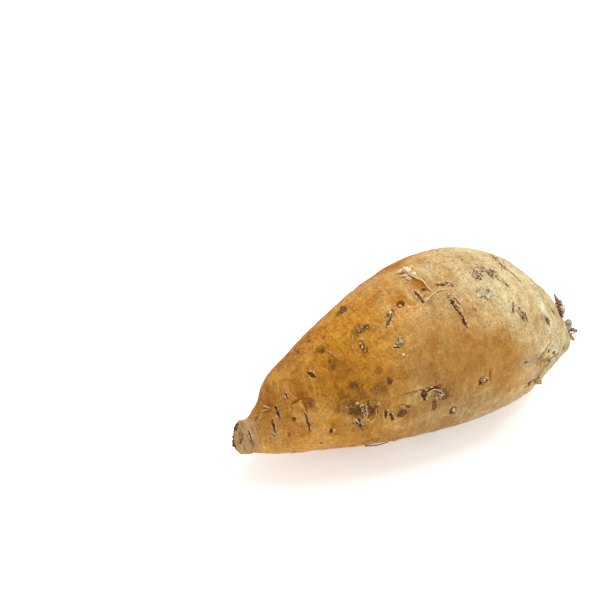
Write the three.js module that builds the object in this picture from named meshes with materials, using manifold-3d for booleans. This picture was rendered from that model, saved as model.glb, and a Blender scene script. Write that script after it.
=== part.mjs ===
// A sweet potato: one storage root with a thick body, a drooping neck that ends in a broken tip, and a
// blunt crown that carries the dried stumps of the vine.
// Millimetres, +Z up. The root lies along X, with its tip at -X and its crown at +X. It rests on a small
// flat spot at z = 0, and the origin is below the middle of its bounding box.

import * as THREE from 'three';
import { NURBSCurve } from 'three/addons/curves/NURBSCurve.js';
import { mergeVertices } from 'three/addons/utils/BufferGeometryUtils.js';
import Module from 'manifold-3d';

// Driving dimensions.
const rootLength = 166; // scales every place along the root
const bodyRadius = 38; // about half the thickness of the thickest part
const middleHeight = 35.7; // from the resting surface to the middle of the thickest part

// Mesh fineness.
const ringCount = 64;
const sidesPerRing = 60;
const sidesPerStump = 10;

// Control sections of a smooth curve, from the middle of the broken tip to the end of the crown.
// x is a share of the root's length. All the rest are shares of the body radius: side (+Y) and lift (+Z)
// move the section, wide and high are its half width and half height.
const sections = [
  { x: -0.485, side: -0.12, lift: -0.4, wide: 0, high: 0 },
  { x: -0.487, side: -0.12, lift: -0.4, wide: 0.17, high: 0.16 },
  { x: -0.484, side: -0.12, lift: -0.4, wide: 0.2, high: 0.18 },
  { x: -0.455, side: -0.13, lift: -0.4, wide: 0.19, high: 0.18 },
  { x: -0.41, side: -0.13, lift: -0.37, wide: 0.29, high: 0.29 },
  { x: -0.35, side: -0.11, lift: -0.22, wide: 0.53, high: 0.55 },
  { x: -0.22, side: -0.08, lift: -0.11, wide: 0.7, high: 0.72 },
  { x: -0.07, side: -0.02, lift: -0.03, wide: 0.92, high: 0.92 },
  { x: 0.06, side: 0.02, lift: 0.04, wide: 1.03, high: 1 },
  { x: 0.18, side: 0.02, lift: 0.05, wide: 1.04, high: 0.99 },
  { x: 0.31, side: -0.03, lift: -0.04, wide: 0.92, high: 0.86 },
  { x: 0.4, side: -0.1, lift: -0.1, wide: 0.62, high: 0.57 },
  { x: 0.45, side: -0.16, lift: -0.19, wide: 0.35, high: 0.31 },
  { x: 0.466, side: -0.21, lift: -0.24, wide: 0.16, high: 0.14 },
  { x: 0.466, side: -0.21, lift: -0.24, wide: 0, high: 0 },
];

// Broad swellings (+) and hollows (-) of the skin. x is a share of the root's length, and angle is in
// degrees from the top round by the front (-Y). length, along the root, and height are in millimetres, and
// spread is in degrees.
const swellings = [
  { x: -0.32, angle: 5, length: 9, spread: 24, height: 0.8 },
  { x: -0.3, angle: 105, length: 11, spread: 26, height: -0.7 },
  { x: -0.2, angle: 50, length: 12, spread: 20, height: 0.5 },
  { x: -0.1, angle: 75, length: 14, spread: 16, height: -0.6 },
  { x: 0.02, angle: 15, length: 12, spread: 14, height: -0.8 },
  { x: 0.09, angle: 60, length: 18, spread: 16, height: 0.7 },
  { x: 0.1, angle: 130, length: 18, spread: 16, height: 0.8 },
  { x: 0.22, angle: 85, length: 16, spread: 18, height: -0.6 },
  { x: 0.3, angle: 10, length: 14, spread: 22, height: 0.6 },
  { x: 0.38, angle: 110, length: 10, spread: 26, height: -1.4 },
  { x: 0.05, angle: -75, length: 20, spread: 18, height: -1.1 },
  { x: 0.2, angle: -115, length: 16, spread: 20, height: 0.8 },
  { x: -0.17, angle: -95, length: 16, spread: 20, height: 0.8 },
  { x: -0.33, angle: -60, length: 9, spread: 26, height: -0.6 },
];

// The tip broke off aslant: its foot stands out and its top is cut back, less and less along the neck.
const tipSlant = 0.35;
const tipSlantLength = 8;

const fullSwellingRadius = 19; // swellings fade out where the root is thinner than this

// Dried stumps of the vine, standing on the crown. x, y and z are the middle of each foot, inside the root.
// rise is its slope above level in degrees. All the lengths are in millimetres.
const stumps = [
  { x: 72, y: -11, z: 28, rise: 18, radius: 3.3, length: 9.5 },
  { x: 67, y: -9, z: 37, rise: 36, radius: 2.2, length: 9.5 },
  { x: 65, y: -5, z: 42, rise: 44, radius: 1.8, length: 9 },
];

// The outline of a stump, from the middle of its foot to the middle of its top, as shares of its radius and
// its length.
const stumpOutline = [
  [0, 0],
  [1, 0],
  [1, 0.55],
  [1.15, 0.7],
  [0.9, 0.9],
  [0.45, 1],
  [0, 0.94],
];

// A cubic spline that starts at the first point, ends at the last and runs smoothly near the others.
function smoothCurve(points) {
  const degree = 3;
  const lastKnot = points.length - degree;
  const knots = [];
  for (let knot = -degree; knot <= lastKnot + degree; knot++) {
    knots.push(THREE.MathUtils.clamp(knot, 0, lastKnot));
  }
  return new NURBSCurve(degree, knots, points);
}

const middleLine = smoothCurve(
  sections.map(({ x, side, lift }) => {
    return new THREE.Vector4(x * rootLength, side * bodyRadius, middleHeight + lift * bodyRadius, 1);
  }),
);

const halfSizes = smoothCurve(
  sections.map(({ wide, high }) => new THREE.Vector4(wide * bodyRadius, high * bodyRadius, 0, 1)),
);

// 1 at no distance, falling smoothly to almost 0 at two widths.
function hump(distance, width) {
  return Math.exp(-((distance / width) ** 2));
}

function swellingHeight(x, angle) {
  let height = 0;
  for (const swelling of swellings) {
    const distance = x - swelling.x * rootLength;
    const turn = THREE.MathUtils.euclideanModulo(angle - swelling.angle + 180, 360) - 180;
    height += swelling.height * hump(distance, swelling.length) * hump(turn, swelling.spread);
  }
  return height;
}

// A point of the skin. t runs from 0 at the tip to 1 at the crown, and angle is in degrees from the top
// round by the front (-Y).
function skinPoint(t, angle) {
  const middle = middleLine.getPoint(t);
  const half = halfSizes.getPoint(t);
  const turn = THREE.MathUtils.degToRad(angle);
  const outward = new THREE.Vector3(0, -half.x * Math.sin(turn), half.y * Math.cos(turn));
  const radius = outward.length();
  const swelling = swellingHeight(middle.x, angle) * Math.min(1, radius / fullSwellingRadius);
  outward.setLength(radius + swelling);
  const slant = tipSlant * hump(middle.x - middleLine.getPoint(0).x, tipSlantLength);
  return middle.add(outward).add(new THREE.Vector3(slant * outward.z, 0, 0));
}

// The skin as rings of points across the root, closed by a point at each end. The belly is flat at z = 0.
function rootGeometry() {
  const points = [];
  const triangles = [];

  for (let ring = 1; ring < ringCount; ring++) {
    for (let side = 0; side < sidesPerRing; side++) {
      points.push(skinPoint(ring / ringCount, (side / sidesPerRing) * 360));
    }
  }
  const lastRing = points.length - sidesPerRing;
  const tipMiddle = points.push(skinPoint(0, 0)) - 1;
  const crownMiddle = points.push(skinPoint(1, 0)) - 1;

  for (let side = 0; side < sidesPerRing; side++) {
    const next = (side + 1) % sidesPerRing;
    for (let start = 0; start < lastRing; start += sidesPerRing) {
      const [a, b] = [start + side, start + next];
      const [c, d] = [a + sidesPerRing, b + sidesPerRing];
      triangles.push(a, b, c, b, d, c);
    }
    triangles.push(tipMiddle, next, side);
    triangles.push(crownMiddle, lastRing + side, lastRing + next);
  }

  for (const point of points) {
    point.z = Math.max(point.z, 0);
  }
  return new THREE.BufferGeometry().setFromPoints(points).setIndex(triangles);
}

function stumpGeometry({ x, y, z, rise, radius, length }) {
  const outline = stumpOutline.map(([out, along]) => new THREE.Vector2(out * radius, along * length));
  return new THREE.LatheGeometry(outline, sidesPerStump)
    .rotateZ(THREE.MathUtils.degToRad(-90))
    .rotateY(THREE.MathUtils.degToRad(-rise))
    .translate(x, y, z);
}

// A manifold-3d solid of a closed geometry.
function solidOf(wasm, geometry) {
  geometry.deleteAttribute('normal');
  geometry.deleteAttribute('uv');
  const merged = mergeVertices(geometry);
  const mesh = new wasm.Mesh({
    numProp: 3,
    vertProperties: new Float32Array(merged.attributes.position.array),
    triVerts: new Uint32Array(merged.index.array),
  });
  return new wasm.Manifold(mesh);
}

function geometryOf(solid) {
  const mesh = solid.getMesh();
  const geometry = new THREE.BufferGeometry();
  geometry.setAttribute('position', new THREE.BufferAttribute(mesh.vertProperties, 3));
  geometry.setIndex(new THREE.BufferAttribute(mesh.triVerts, 1));
  geometry.computeVertexNormals();
  return geometry;
}

// Moves the geometry in X and Y, so that the origin is below the middle of its bounding box.
function centred(geometry) {
  geometry.computeBoundingBox();
  const middle = geometry.boundingBox.getCenter(new THREE.Vector3());
  return geometry.translate(-middle.x, -middle.y, 0);
}

const wasm = await Module();
wasm.setup();

let solid = solidOf(wasm, rootGeometry());
for (const stump of stumps) {
  solid = solid.add(solidOf(wasm, stumpGeometry(stump)));
}

const skin = new THREE.MeshStandardMaterial({ color: 0xc79a55, roughness: 0.85, metalness: 0 });
const root = new THREE.Mesh(centred(geometryOf(solid)), skin);
root.name = 'sweet_potato';

const group = new THREE.Group();
group.add(root);
export default group;
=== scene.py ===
"""A sweet potato root: its skin, dried rootlets, cork flakes and broken stem ends, on a pale studio floor.

Lengths in the mark lists are millimetres and angles are degrees. A place on the skin is given by
how far it lies along the root (x in the frame) and how far round it, from the top by the front.
"""

import math
from collections import namedtuple

import bmesh
import bpy
import numpy as np
from bpy.props import FloatProperty, FloatVectorProperty, IntProperty, PointerProperty
from mathutils import Matrix, Vector, noise
from mathutils.bvhtree import BVHTree


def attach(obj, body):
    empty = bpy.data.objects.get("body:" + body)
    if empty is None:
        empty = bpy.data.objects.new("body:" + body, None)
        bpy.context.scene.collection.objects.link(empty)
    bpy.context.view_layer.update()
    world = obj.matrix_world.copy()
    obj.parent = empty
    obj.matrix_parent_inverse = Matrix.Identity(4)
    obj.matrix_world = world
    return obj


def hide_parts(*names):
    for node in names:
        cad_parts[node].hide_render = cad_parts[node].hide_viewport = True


bl_info = {
    "name": "Sweet Potato",
    "version": (1, 0, 0),
    "blender": (4, 5, 0),
    "location": "View3D > Sidebar > Sweet Potato",
    "description": "Builds a sweet potato root with scarred skin, rootlets and cork flakes",
    "category": "Object",
}

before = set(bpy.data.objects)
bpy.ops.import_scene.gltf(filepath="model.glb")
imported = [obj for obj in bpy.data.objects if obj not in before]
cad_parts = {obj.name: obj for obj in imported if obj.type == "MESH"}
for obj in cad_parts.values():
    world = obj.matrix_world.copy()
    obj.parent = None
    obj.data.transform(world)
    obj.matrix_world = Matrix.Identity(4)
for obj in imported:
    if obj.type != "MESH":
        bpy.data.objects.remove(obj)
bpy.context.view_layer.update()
CAD_NODE = "sweet_potato"
MM = 0.001

# ---------------------------------------------------------------- marks on the skin

# Length runs along the mark and width across it. Lean turns the mark from the root's length
# towards its girth.
Mark = namedtuple("Mark", "along around length width lean")


def mark_list(*rows):
    """Marks from rows of along, around, length, width and lean."""
    return [Mark(*row) for row in rows]


# Split openings with a dark inside and pale corky lips.
SLITS = mark_list(
    (-76.5, 43, 5.5, 0.5, 89),
    (-67.6, 50, 6.5, 1.1, 88),
    (-65.0, 22, 3.0, 1.3, 80),
    (-65.0, 34, 3.6, 1.3, 80),
    (-60.4, 20, 3.2, 1.2, 87),
    (-56.2, 66, 9.0, 1.0, 84),
    (-49.8, 20, 4.2, 1.9, 68),
    (-47.6, 87, 2.6, 1.6, 80),
    (49.8, -6, 4.6, 1.0, 104),
    (-36.4, 84, 6.0, 1.3, 66),
    (-25.4, 84, 4.4, 1.7, 85),
    (-23.0, 89, 4.2, 1.6, 80),
    (-14.8, 18, 6.0, 1.1, 139),
    (-15.8, 37.2, 3.0, 0.6, 20),
    (-9.4, 77.5, 5.6, 2.4, 84),
    (-5.8, 75.2, 7.0, 1.1, -4),
    (1.4, 11, 9.0, 1.1, 88),
    (11.9, 10.8, 5.2, 1.2, 30),
    (15.6, 12.3, 3.4, 0.7, 46),
    (12.2, 27, 4.4, 1.6, 84),
    (14.2, 26, 5.4, 0.8, 76),
    (13.0, 35, 7.4, 1.2, 73),
    (13.4, 41.5, 4.6, 1.3, 80),
    (15.0, 81.5, 3.0, 1.6, 80),
    (38.2, 40, 6.0, 0.9, -68),
    (41.2, 43, 4.0, 1.2, 84),
    (41.2, 48, 3.6, 1.1, 98),
    (55.6, 52, 3.6, 0.4, 85),
    (47.9, -13, 14.0, 1.5, 106),
    (46.6, 1, 7.5, 3.2, 92),
    (48.2, 13.0, 8.5, 0.8, 70),
    (39.5, 21, 7.5, 0.5, 52),
    (53.6, 75, 2.6, 0.9, -10),
    (57.6, 82, 3.0, 1.0, 10),
    (36.0, 9, 7.0, 0.8, 40),
    (31.0, 12, 5.0, 0.8, 70),
    (33.0, 6, 6.0, 0.8, 20),
)

# Small round or oval holes.
PITS = mark_list(
    (-60.6, 56, 2.4, 2.0, 90),
    (-6.8, 9.5, 4.2, 4.0, 0),
    (4.1, 99.5, 6.0, 4.0, 88),
    (38.8, 78, 2.4, 1.3, 0),
    (29.2, -6, 2.8, 0.9, 12),
    (-16.0, 83, 1.8, 1.5, 0),
    (44.2, 97, 3.4, 1.6, -48),
    (16.2, 15.0, 1.6, 1.4, 0),
    (67.4, 86, 2.6, 2.2, 0),
    (56.6, 79.1, 3.2, 1.6, 6),
    (52.8, 85.1, 3.2, 1.4, -7),
    (53.0, 76.1, 2.9, 1.3, -7),
)

# Rings of flaking cork round a dark centre.
CRATERS = mark_list(
    (-37.0, 72, 7.6, 7.4, 0),
    (-31.0, 77, 6.0, 8.4, 10),
)

# Rough patches of crumbled cork.
CRUSTS = mark_list(
    (-68.0, 71, 3.2, 1.8, 88),
    (-36.0, 89, 5.0, 3.0, 66),
    (-25.4, 11.5, 8.5, 3.2, -3),
    (-27.6, 25, 8.0, 3.2, 85),
    (-10.8, 12, 6.0, 2.6, 130),
    (-3.8, 79.5, 6.5, 5.0, 60),
    (-18.2, 81, 5.0, 2.6, 10),
    (17.0, 80.8, 5.4, 4.0, 0),
    (28.8, 12.5, 7.0, 4.6, 80),
    (36.2, 11.5, 7.0, 4.8, 70),
    (32.4, 9, 4.0, 2.0, 10),
    (-13.0, 14, 5.0, 3.6, 139),
    (44.6, 3, 6.0, 4.0, 90),
    (11.9, 22.0, 5.0, 2.6, 84),
    (13.6, 31, 5.0, 1.8, 76),
    (15.2, 13.6, 3.2, 2.0, 20),
    (42.6, 45, 7.0, 2.0, 86),
)

# Soft valleys with one raised edge, painted darker in the valley as shade and paler along the edge as a
# highlight.
CREASES = mark_list(
    (-58.4, 36.5, 7.0, 0.8, 172),
    (-55.8, 46, 6.5, 0.8, -94),
    (-13.9, 72, 9.0, 0.9, -8),
    (-5.6, 74.6, 8.5, 1.7, 176),
    (20.3, 79, 6.0, 1.0, 96),
    (50.0, 74, 10.0, 1.2, -25),
    (54.0, 74, 4.8, 1.2, -10),
    (55.4, 83, 13.0, 1.4, 10),
    (58.0, 88, 12.0, 1.3, 8),
    (50.4, 80, 6.5, 1.1, -10),
    (62.0, 73, 9.0, 1.3, -60),
    (67.0, 76, 9.0, 1.2, -50),
    (50.0, 95, 9.0, 1.3, -20),
    (60.5, 84, 9.0, 1.1, 4),
    (53.0, 87, 8.0, 1.1, 6),
    (47.5, 82, 4.6, 0.9, -80),
    (55.2, 51, 5.0, 1.2, 80),
    (62.0, 40, 7.0, 1.0, 75),
    (66.0, 10, 9.0, 1.0, 80),
    (41.5, 101, 5.0, 0.9, 20),
)

# Dark red-brown scabs.
SCABS = mark_list(
    (-18.6, 87, 4.8, 4.2, 20),
    (-5.0, 88.8, 5.4, 2.4, 88),
    (-24.4, -25, 3.4, 2.2, 60),
    (-26.4, -20, 3.2, 2.0, 90),
    (-24.0, -20, 2.2, 1.8, 90),
    (-22.9, 11.4, 3.2, 2.0, 0),
    (42.2, 98.6, 3.0, 1.2, -48),
    (-22.4, 58.5, 3.4, 2.4, 78),
    (-36.4, 48.6, 3.6, 1.6, 10),
)

# Thin plates of dried cork that stand a little off the skin.
PLATES = mark_list(
    (27.2, 27.5, 5.8, 4.2, 20),
    (3.1, 16, 3.0, 2.0, 20),
    (-13.6, 34.6, 3.0, 1.6, 80),
    (-14.2, 35.2, 3.0, 1.2, 10),
    (28.4, 14.5, 3.2, 2.0, 60),
    (30.6, 8.5, 2.4, 1.6, 20),
    (36.4, 13.5, 3.8, 2.2, 60),
    (38.2, 9.5, 2.6, 1.6, 20),
    (40.6, 44.5, 2.6, 1.8, 80),
)

# Brown stains with hardly any relief.
STAINS = mark_list(
    (-71.4, -3, 2.6, 2.0, 0),
    (-63.3, 76, 3.0, 1.6, 80),
    (-60.1, 42, 2.0, 1.6, 0),
    (-51.0, 104, 2.8, 1.6, 66),
    (-43.2, -18, 3.0, 2.4, 0),
    (-38.3, -7, 2.4, 2.0, 0),
    (-41.9, 5, 3.4, 2.2, 70),
    (-25.4, -20, 7.0, 4.6, 80),
    (-1.4, 81.5, 8.5, 6.0, 80),
    (20.0, 35.6, 3.4, 1.8, 50),
    (-49.0, -19, 9.0, 1.2, 88),
)

# Broad soft hollows. Width is across the hollow and depth follows from it.
HOLLOWS = mark_list(
    (-7.0, 5, 13.0, 8.0, 85),
    (5.0, 5, 12.0, 6.0, 50),
    (-66.0, 0, 10.0, 6.0, 60),
    (-30.0, 75, 20.0, 12.0, 10),
    (-44.0, 14, 16.0, 8.0, 60),
    (55.0, 111, 34.0, 24.0, 0),
    (-52.0, 138, 34.0, 16.0, 0),
    (-79.0, -10, 8.0, 12.0, 0),
)

# Broad low rises, sized like the hollows.
SWELLS = mark_list(
    (73.0, 98, 8.0, 10.0, 0),
    (74.0, 100, 12.0, 14.0, 0),
    (44.0, -44, 44.0, 26.0, 0),
    (-61.0, -46, 18.0, 24.0, 0),
    (57.0, -24, 26.0, 18.0, 0),
)

# Broad patches of one skin colour, with soft uneven edges.
ZONES = {
    "gold": mark_list((-40, 0, 66, 62, -25), (-58, -10, 24, 44, 0), (-36, -50, 50, 34, 0)),
    "straw": mark_list((54, 6, 94, 88, 0), (72, 52, 54, 84, 0), (56, 92, 44, 44, 0)),
    "khaki": mark_list((8, 98, 84, 52, 0), (10, 180, 110, 60, 0)),
    # The neck colour is lighter than the gold and lies on the neck's lower side: painted light where that
    # side turns down, away from the light.
    "neck": mark_list((-67, 78, 26, 50, 0), (-64, 200, 26, 60, 0)),
    "tan": mark_list((19, 70, 64, 30, 30), (8, -36, 26, 16, 0)),
    "amber": mark_list(
        (-66, -24, 16, 24, 0),
        (-55, 28, 6, 9, 0),
        (-46, 78, 7, 6, 0),
        (5, -36, 14, 10, 0),
        (-42, 28, 30, 32, 0),
        (-50, -26, 20, 20, 0),
        (-54, 43, 5, 6, 0),
        (4.7, 3, 10, 6, 60),
        (-7, 6, 8, 6, 0),
    ),
    # grey_and_shade: faint grey patches, and painted shade on the crown's upper right, which the large light
    # lights most.
    "grey_and_shade": mark_list(
        (34, 8, 17, 14, 40),
        (27, -14, 14, 7, 60),
        (41, 77, 12, 8, 0),
        (54, 49, 7, 5, 0),
        (48, 92, 14, 9, 0),
        (58, 25, 9, 9, 0),
        (56, -9, 22, 12, 20),
    ),
    # bloom_and_light: dry pale bloom, and painted light that brightens the crown's right side where the
    # large light leaves it dim.
    "bloom_and_light": mark_list(
        (-17, 72, 14, 16, 60),
        (38, 92, 18, 16, 0),
        (53, 76, 16, 20, 0),
        (-7, 15, 14, 12, 0),
        (-20, 97, 12, 8, 0),
        (-79, 52, 8, 14, 0),
        (71, 36, 8, 10, 0),
        (56, 42, 6, 9, 0),
    ),
    "soil": mark_list(
        (-38, 66, 20, 12, 10),
        (-27, 62, 10, 7, 40),
        (-36, 90, 8, 8, 60),
        (-53, 48, 9, 5, 80),
        (-36, 50, 8, 6, 40),
        (-28, 59.5, 8, 4, 10),
        (-41, 22, 5, 8, 30),
        (-42, 2, 5, 4, 60),
        (-26, 11, 10, 6, 0),
        (-27, -20, 7, 5, 90),
    ),
}

# How many more marks of each kind are scattered over the far side, and their usual length and width.
SCATTERED = {
    "slit": (16, 6.0, 1.2),
    "pit": (5, 3.2, 2.4),
    "crater": (1, 8.0, 7.0),
    "crust": (9, 6.0, 3.0),
    "crease": (8, 9.0, 1.4),
    "stain": (14, 4.0, 2.4),
    "hollow": (5, 18.0, 9.0),
}
FAR_ALONG = (-68, 60)
FAR_AROUND = (134, 304)
# The usual lean of the scattered marks, and how much it varies.
FAR_LEAN = (85, 18)
FAR_SEED = 5

# The kinds of mark that get finer mesh cells, and those whose cells are halved once more.
FINE_KINDS = ("slit", "pit", "crater", "crust", "plate", "scab", "crease")
FINEST_KINDS = ("slit", "pit", "plate", "crater")

HALF_LENGTH = 82.0
# The root's tip lies below this, and its mesh cells are fine all over.
TIP_START = -70.0
# The weathered cap at the tip: where it ends, at which height, and how much that shifts with height.
CAP_END = -76.4
CAP_HEIGHT = 10.0
CAP_SLOPE = 0.15
# The direction that the broken end faces.
BREAK_FACES = (-0.77, 0.62, -0.12)


# ---------------------------------------------------------------- settings


def amount(name, description, default, **limits):
    """A property of one number."""
    return FloatProperty(name=name, description=description, default=default, **limits)


def length(name, description, default, **limits):
    """A length property in metres."""
    return amount(name, description, default, subtype="DISTANCE", unit="LENGTH", **limits)


def degrees(name, description, default):
    """An angle property with its default given in degrees."""
    return amount(name, description, math.radians(default), subtype="ANGLE")


def triple(name, description, default, **limits):
    """A property of three numbers."""
    return FloatVectorProperty(name=name, description=description, default=default, size=3, **limits)


def spot(name, description, default):
    """A property for a place, in metres."""
    return triple(name, description, default, subtype="TRANSLATION", unit="LENGTH")


def colour(name, description, default):
    """A colour property in linear red, green and blue."""
    return triple(name, description, default, subtype="COLOR", min=0.0, max=1.0)


class SkinSettings(bpy.types.PropertyGroup):
    """Sizes and colours of the skin."""

    cell: length("Cell", "Size of the mesh cells between the marks", 0.86 * MM, min=0.4 * MM)
    dimple: length("Dimples", "Depth of the broad uneven dimples", 0.3 * MM, min=0.0)
    wrinkle: length("Wrinkles", "Depth of the wrinkles round the root", 0.07 * MM, min=0.0)
    honey: colour("Honey", "Colour of the skin where nothing else colours it", (0.43, 0.210, 0.045))
    gold: colour("Gold", "Colour of the golden part near the neck", (0.455, 0.197, 0.016))
    straw: colour("Straw", "Colour of the dry upper side and crown", (0.455, 0.352, 0.178))
    khaki: colour("Khaki", "Colour of the dull lower side", (0.325, 0.167, 0.044))
    # Lighter on the neck's lower side as painted light, where that side turns down away from the light.
    neck: colour("Neck", "Colour of the neck", (0.54, 0.265, 0.060))
    tan: colour("Tan", "Colour of the smooth lower flank", (0.404, 0.200, 0.042))
    amber: colour("Amber", "Colour of the darkest smooth skin", (0.37, 0.148, 0.010))
    # The grey patches' colour also serves as painted shade on the crown's upper right.
    grey_and_shade: colour("Dusk", "Colour of the faint grey patches", (0.36, 0.270, 0.165))
    ash: colour("Ash", "Colour of the weathered tip", (0.475, 0.288, 0.122))
    # The hole colour is partly the dark inside of the marks and partly painted shade in their hollows.
    hole: colour("Hole", "Darkest colour inside pits and splits", (0.080, 0.032, 0.010))
    crumbs: colour("Crumbs", "Lightest colour inside pits and splits", (0.30, 0.150, 0.045))
    plate: colour("Plate", "Darker colour of the thin raised plates", (0.30, 0.240, 0.150))
    dry_plate: colour("Dry plate", "Lighter colour of the thin raised plates", (0.54, 0.455, 0.290))
    scab: colour("Scab", "Darker colour of the scabs and the broken end", (0.100, 0.040, 0.013))
    dry_scab: colour("Dry scab", "Lighter colour of the scabs and the broken end", (0.26, 0.125, 0.045))
    lip: colour("Lip", "Darker colour of the corky lips", (0.40, 0.220, 0.090))


class DryRootSettings(bpy.types.PropertyGroup):
    """Colours of the cork, the rootlets and the stem ends."""

    cork: colour("Cork", "Colour of dried cork and rootlets", (0.70, 0.530, 0.310))
    bark: colour("Bark", "Colour of dead bark and dark cork", (0.18, 0.085, 0.022))
    speck: colour("Specks", "Colour of the small specks on cork and rootlets", (0.30, 0.180, 0.080))
    stem: colour("Stem", "Colour of the grey broken stem", (0.30, 0.262, 0.222))
    shoot: colour("Shoot", "Colour of the reddish shoot", (0.28, 0.085, 0.055))
    rind: colour("Rind", "Golden colour between the stem and the shoot", (0.48, 0.240, 0.030))
    rot: colour("Rot", "Colour of the dark hollow ends", (0.040, 0.018, 0.010))
    flakes: IntProperty(name="Flakes", description="How many loose cork flakes", default=420, min=0)


class StageSettings(bpy.types.PropertyGroup):
    """The camera, lights and floor."""

    azimuth: degrees("Azimuth", "Direction of the camera round the root, from the front", -25)
    elevation: degrees("Elevation", "Height of the camera above the floor, as an angle", 38)
    distance: length("Distance", "From the camera to the root's middle", 0.5)
    lens: amount("Lens", "Focal length in millimetres", 68.6)
    sensor: amount("Sensor", "Width of the camera's sensor in millimetres", 36.0)
    middle: spot("Middle", "The root's middle, which the picture is set out from", (0.0, 0.0, 0.036))
    middle_right: amount("Middle to the right", "How far right of centre it lies, in picture widths", 0.1698)
    middle_down: amount("Middle down", "How far below the centre it lies, in picture widths", 0.0843)
    surround: amount("Surround", "Strength of the even light all round", 0.78)
    key: amount("Key", "Power of the large soft light", 6.0, unit="POWER")
    key_size: length("Key size", "Width of the large soft light", 0.6)
    key_place: spot("Key place", "Where the large soft light hangs", (0.32, 0.10, 0.65))
    key_target: spot("Key target", "Where the large soft light points", (0.02, 0.0, 0.03))
    glow: amount("Glow", "Light that comes up through the floor", 0.40)
    floor: length("Floor", "From the middle of the floor to its edges", 20.0)
    paper: colour("Paper", "Lighter colour of the floor", (0.90, 0.90, 0.90))
    dull_paper: colour("Dull paper", "Darker colour of the floor", (0.88, 0.88, 0.88))


# ---------------------------------------------------------------- places on the root


def ripple(points, size, seed=0.0, octaves=2):
    """Smooth noise of about -1 to 1 at each point, in lumps of the given size."""
    shift = Vector((seed, seed * 1.7, seed * 2.3))
    return np.array([noise.fractal(Vector(p) / size + shift, 1.0, 2.0, octaves) for p in points])


def ramp(value, low, high):
    """0 below low, 1 above high, with a smooth rise between them. low may be the larger."""
    share = np.clip((value - low) / (high - low), 0.0, 1.0)
    return share * share * (3.0 - 2.0 * share)


def hump(value, middle, half):
    """1 at the middle, falling smoothly to almost 0 at twice half away from it."""
    return np.exp(-(((value - middle) / half) ** 2))


class Chart:
    """Finds places on the skin by millimetres along the root and degrees round it."""

    # Half the thickness of the slices that the middle line is found from, and how far apart they are.
    slice_half = 2.5
    step = 2.0

    def __init__(self, points, tree):
        """points of the whole root and the surface to land on, both in millimetres."""
        self.tree = tree
        self.stations = np.arange(points[:, 0].min() + 1, points[:, 0].max(), self.step)
        centres = []
        for station in self.stations:
            cut = points[np.abs(points[:, 0] - station) < self.slice_half, 1:]
            centres.append((cut.min(0) + cut.max(0)) / 2)
        self.centres = np.array(centres)

    def middle(self, along):
        """The middle of the root's cross-section, y and z."""
        y = np.interp(along, self.stations, self.centres[:, 0])
        z = np.interp(along, self.stations, self.centres[:, 1])
        return y, z

    def radius(self, points):
        """How far each point is from the root's middle line."""
        y, z = self.middle(points[:, 0])
        return np.hypot(points[:, 1] - y, points[:, 2] - z)

    def place(self, along, around, lean=0.0):
        """The point on the skin, and axes whose rows run along the mark, across it and outwards."""
        angle = math.radians(around)
        y, z = self.middle(along)
        outward = Vector((0.0, -math.sin(angle), math.cos(angle)))
        point, normal, _, _ = self.tree.ray_cast(Vector((along, y, z)), outward)
        if point is None:
            raise RuntimeError(f"no skin at {along} mm along and {around} degrees round")
        if normal.dot(outward) < 0:
            normal = -normal
        length_way = (Vector((1, 0, 0)) - normal * normal.x).normalized()
        girth_way = Vector((0.0, -math.cos(angle), -math.sin(angle)))
        girth_way = (girth_way - normal * normal.dot(girth_way)).normalized()
        turn = math.radians(lean)
        long_axis = (length_way * math.cos(turn) + girth_way * math.sin(turn)).normalized()
        return np.array(point), np.array((long_axis, normal.cross(long_axis), normal))

    def on_mark(self, mark, s, t):
        """The point on the skin s along a mark and t across it from its middle, with its axes."""
        origin, axes = self.place(mark.along, mark.around, mark.lean)
        beside = origin + axes[0] * s + axes[1] * t
        point, normal, _, _ = self.tree.find_nearest(Vector(beside))
        normal = np.array(normal)
        long_axis = axes[0] - normal * normal.dot(axes[0])
        long_axis /= np.linalg.norm(long_axis)
        return np.array(point), np.array((long_axis, np.cross(normal, long_axis), normal))


# ---------------------------------------------------------------- relief of the marks


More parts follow.
